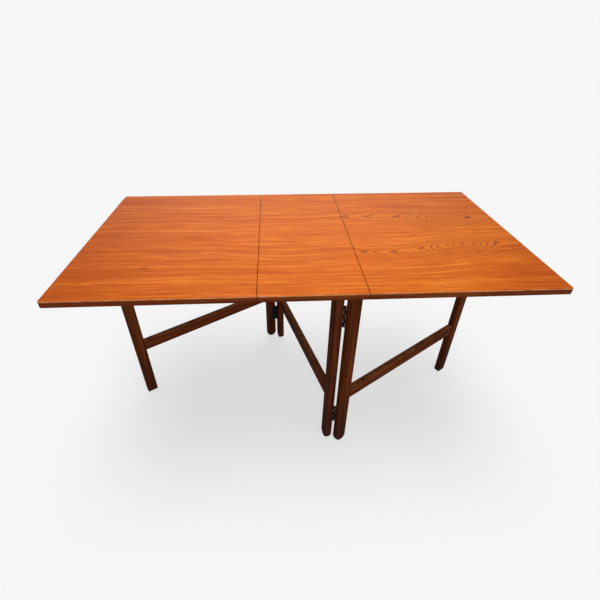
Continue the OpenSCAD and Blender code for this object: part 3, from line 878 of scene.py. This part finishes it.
edgeTones = ("#521c06", "#7e360f", "#a05222")
darkTones = ("#321104", "#642b0a", "#924716")
topTeak = makeTopTeak(topFinish)
underTeak = makeSolidTeak("teak backing veneer", ("#4b2a18", "#6d4228", "#8a5a38"), roughness=0.62)
# painted highlight along the top arris of the lippings
edgeHighlight = highlightBelow(cadBox[1].z, "board")
edgeAlong = makeSolidTeak("teak lipping lengthways", edgeTones, highlightAbove=edgeHighlight)
edgeAcross = makeSolidTeak("teak lipping crossways", edgeTones, turn=math.pi / 2, highlightAbove=edgeHighlight)
# painted shade: the lippings inside the seams take darker tones than the outer ones, for the shade in
# the gap
seamShadeTeak = makeSolidTeak("teak lipping in a seam", ("#341407", "#4c200e", "#622c16"), turn=math.pi / 2)
postTeak = makeSolidTeak("dark teak upright", darkTones, upright=True)
upperRailTeak = makeSolidTeak("dark teak upper rail", darkTones, turn=frameTurn, seed=0.7)
# the top arrises of the rails carry a painted highlight
lowerRailTeak = makeSolidTeak(
    "dark teak lower rail", darkTones, turn=frameTurn, seed=1.3,
    highlightAbove=highlightBelow(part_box("lower_rail")[1].z, "rail"),
)
gateRailTeak = makeSolidTeak(
    "dark teak gate rail", darkTones, turn=gateTurn, seed=1.9,
    highlightAbove=highlightBelow(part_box("right_gate_rail")[1].z, "rail"),
)
coreBoard = makeCore(coreSpec)
blackSteel = makeSteel("blackened steel", ("#060607", "#0c0c0d", "#171514"), 0.1, (0.60, 0.76))
screwSteel = makeSteel("dulled screw steel", ("#4a443c", "#7a7368", "#9c958a"), 1.0, (0.30, 0.45))
print("materials: made")


# ---- frame nodes that keep their shape ----

keptFinishes = (
    (("centre_top_veneer", "right_leaf_top_veneer", "left_leaf_top_veneer"), topTeak),
    (("centre_under_veneer", "right_leaf_under_veneer", "left_leaf_under_veneer"), underTeak),
    (("centre_core", "right_leaf_core", "left_leaf_core"), coreBoard),
)
for nodes, finish in keptFinishes:
    for node in nodes:
        frame["nodes"][node].data.materials.clear()
        frame["nodes"][node].data.materials.append(finish)
for node, piece in frame["nodes"].items():
    finish = screwSteel if node.endswith("screws") else blackSteel
    if node.endswith(("plate", "plates", "pin", "pins", "screws")):
        piece.data.materials.clear()
        piece.data.materials.append(finish)
print("kept nodes: finished")


# ---- lippings ----

lippingSpec = {
    "width": 0.006,
    "cornerRadius": 0.008,
    "cornerSegments": 10,
    "ease": 0.0011,         # the rubbed arris, top and bottom
    "easeSegments": 3,
    "easeAngle": 50,
    "innerSegments": 4,
    "cutterExtra": 0.02,
    "topShare": 0.75,       # how far a face must look up to count as the top
}
hingeSpec = {
    "length": 0.060,
    "headHeight": 0.0012,
    "plateWidth": 0.034,
    "pocketDepth": 0.002,
    "grooveRadius": 0.0040,
    "grooveExtra": 0.0016,   # room past each end of the knuckles for the pin's heads
    "grooveSides": 32,
}


def cutPockets(ring, pins):
    # a shallow bed for the plates and a round groove for the knuckles, at both hinges of a seam
    spec = hingeSpec
    low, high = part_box(pins)
    middle = (low + high) / 2
    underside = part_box("centre_under_veneer")[0].z
    for side in (-1, 1):
        y = side * (high.y - spec["headHeight"] - spec["length"] / 2)
        size = (2 * spec["plateWidth"], spec["length"], 2 * spec["pocketDepth"])
        bed = addBlock("bed", size, (middle.x, y, underside))
        cutAway(ring, bed)
        bpy.data.objects.remove(bed)
        bpy.ops.object.select_all(action="DESELECT")
        bpy.ops.mesh.primitive_cylinder_add(
            vertices=spec["grooveSides"], radius=spec["grooveRadius"],
            depth=spec["length"] + 2 * spec["grooveExtra"],
            location=(middle.x, y, middle.z), rotation=(math.pi / 2, 0, 0),
        )
        groove = bpy.context.object
        cutAway(ring, groove)
        bpy.data.objects.remove(groove)


def roundCorners(board, farX, radius, segments):
    # rounds the two upright corners on one end of a board
    def onCorner(a, b):
        atEnd = abs(a.x - farX) < tolerance and abs(b.x - farX) < tolerance
        return atEnd and abs(a.z - b.z) > tolerance
    roundEdges(board, onCorner, radius, segments)


def makeRing(name, low, high, roundedSide):
    # the whole rim of one board, before it is cut into four strips
    spec = lippingSpec
    width = spec["width"]
    size = high - low
    middle = (low + high) / 2
    farX = high.x if roundedSide > 0 else low.x
    board = addBlock(name, size, middle)
    if roundedSide:
        roundCorners(board, farX, spec["cornerRadius"], spec["cornerSegments"])
    easeArrises(board, spec["ease"], spec["easeSegments"], spec["easeAngle"])
    inner = addBlock("inside", size - Vector((2 * width, 2 * width, -spec["cutterExtra"])), middle)
    if roundedSide:
        innerX = farX - roundedSide * width
        roundCorners(inner, innerX, spec["cornerRadius"] - width, spec["innerSegments"])
    cutAway(board, inner)
    bpy.data.objects.remove(inner)
    return board


def cutStrip(ring, name, planes):
    # copies the rim and keeps what lies on the wanted side of each mitre
    selectOnly(ring)
    bpy.ops.object.duplicate()
    strip = bpy.context.object
    strip.name = name
    strip.data.name = name
    bpy.ops.object.mode_set(mode="EDIT")
    for point, normal in planes:
        bpy.ops.mesh.select_all(action="SELECT")
        bpy.ops.mesh.bisect(plane_co=point, plane_no=normal, use_fill=True, clear_outer=True)
    bpy.ops.object.mode_set(mode="OBJECT")
    return strip


def makeLippings(board, roundedSide):
    names = {"front": f"{board}_front_lipping", "back": f"{board}_back_lipping"}
    if board == "centre":
        names["right"], names["left"] = "centre_right_lipping", "centre_left_lipping"
    else:
        outer, inner = ("right", "left") if roundedSide > 0 else ("left", "right")
        names[outer], names[inner] = f"{board}_end_lipping", f"{board}_seam_lipping"
    boxes = [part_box(n) for n in names.values()]
    low = Vector([min(b[0][i] for b in boxes) for i in range(3)])
    high = Vector([max(b[1][i] for b in boxes) for i in range(3)])
    ring = makeRing(f"{board}_rim", low, high, roundedSide)
    for side in ("right", "left"):
        if board in ("centre", f"{side}_leaf"):
            cutPockets(ring, f"{side}_seam_pins")
    middle = (low + high) / 2
    frontLeft, frontRight = Vector((low.x, low.y, 0)), Vector((high.x, low.y, 0))
    backLeft, backRight = Vector((low.x, high.y, 0)), Vector((high.x, high.y, 0))
    # each plane's normal points at what is thrown away
    planes = {
        "front": ((frontLeft, (-1, 1, 0)), (frontRight, (1, 1, 0)), (middle, (0, 1, 0))),
        "back": ((backLeft, (-1, -1, 0)), (backRight, (1, -1, 0)), (middle, (0, -1, 0))),
        "left": ((frontLeft, (1, -1, 0)), (backLeft, (1, 1, 0)), (middle, (1, 0, 0))),
        "right": ((frontRight, (-1, -1, 0)), (backRight, (-1, 1, 0)), (middle, (-1, 0, 0))),
    }
    for side, node in names.items():
        strip = cutStrip(ring, f"{node}_finished", planes[side])
        smoothPiece(strip)
        inSeam = node.endswith(("seam_lipping", "centre_right_lipping", "centre_left_lipping"))
        edgeTeak = edgeAlong if side in ("front", "back") else seamShadeTeak if inSeam else edgeAcross
        standFor(strip, node, "teak_lipping", edgeTeak, topTeak)
        for face in strip.data.polygons:
            face.material_index = 1 if face.normal.z > lippingSpec["topShare"] else 0
    bpy.data.objects.remove(ring)


for board, roundedSide in (("centre", 0), ("right_leaf", 1), ("left_leaf", -1)):
    makeLippings(board, roundedSide)
print("lippings: made")


# ---- posts and legs ----

postSpec = {
    "width": 0.041,
    "thickness": 0.025,
    "ease": 0.0016,
    "footRadius": 0.014,       # across the wide face
    "legFootRadius": 0.003,
    "footSegments": 10,
    "turnedRadius": 0.0245,    # the foot's four corners are rubbed round, like a turned end
    "turnedRounding": 0.0190,
    "turnedStretch": 1.5,
    "turnedSides": 64,
    "cutterExtra": 0.02,
}


def onFloor(a, b):
    return a.z < tolerance and b.z < tolerance


def underWideFace(a, b):
    return onFloor(a, b) and abs(a.x - b.x) < tolerance


def makeUpright(node, turn, footRadius, turned=False):
    low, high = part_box(node)
    height = high.z - low.z
    spec = postSpec
    post = addBlock(f"{node}_finished", (spec["width"], spec["thickness"], height), (0, 0, height / 2))
    roundEdges(post, underWideFace, footRadius, spec["footSegments"])
    easeArrises(post, spec["ease"])
    if turned:
        bpy.ops.object.select_all(action="DESELECT")
        bpy.ops.mesh.primitive_cylinder_add(
            vertices=spec["turnedSides"], radius=spec["turnedRadius"],
            depth=height + spec["cutterExtra"],
            location=(0, 0, (height + spec["cutterExtra"]) / 2),
        )
        dome = bpy.context.object
        bpy.ops.object.transform_apply(location=True, rotation=True, scale=True)
        roundEdges(dome, onFloor, spec["turnedRounding"], spec["footSegments"])
        dome.scale.z = spec["turnedStretch"]
        bpy.ops.object.transform_apply(location=True, rotation=True, scale=True)
        cutAway(post, dome, "INTERSECT")
        bpy.data.objects.remove(dome)
    smoothPiece(post)
    middle = (low + high) / 2
    placeMesh(post, turn, (middle.x, middle.y, low.z))
    standFor(post, node, "dark_teak", postTeak)


for node in ("front_frame_post", "back_frame_post"):
    makeUpright(node, frameTurn, postSpec["footRadius"], turned=True)
for side in ("right", "left"):
    makeUpright(f"{side}_gate_post", gateTurn, postSpec["footRadius"], turned=True)
    makeUpright(f"{side}_gate_leg", gateTurn, postSpec["legFootRadius"])
print("posts: made")


# ---- rails ----

railSpec = {
    "thickness": 0.020,
    "ease": 0.0012,
    "easeSegments": 3,
}


def alongRail(a, b):
    return abs(a.x - b.x) > tolerance


def makeRail(node, startNode, endNode, turn, finish):
    low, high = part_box(node)
    start, end = middleOf(startNode), middleOf(endNode)
    length = (Vector((end.x, end.y)) - Vector((start.x, start.y))).length - postSpec["width"]
    rail = addBlock(f"{node}_finished", (length, railSpec["thickness"], high.z - low.z))
    # only the long arrises are eased, so that the shoulders meet the posts tightly
    roundEdges(rail, alongRail, railSpec["ease"], railSpec["easeSegments"])
    smoothPiece(rail)
    placeMesh(rail, turn, ((start.x + end.x) / 2, (start.y + end.y) / 2, (low.z + high.z) / 2))
    standFor(rail, node, "dark_teak", finish)


makeRail("upper_rail", "front_frame_post", "back_frame_post", frameTurn, upperRailTeak)
makeRail("lower_rail", "front_frame_post", "back_frame_post", frameTurn, lowerRailTeak)
for side in ("right", "left"):
    makeRail(f"{side}_gate_rail", f"{side}_gate_post", f"{side}_gate_leg", gateTurn, gateRailTeak)
print("rails: made")
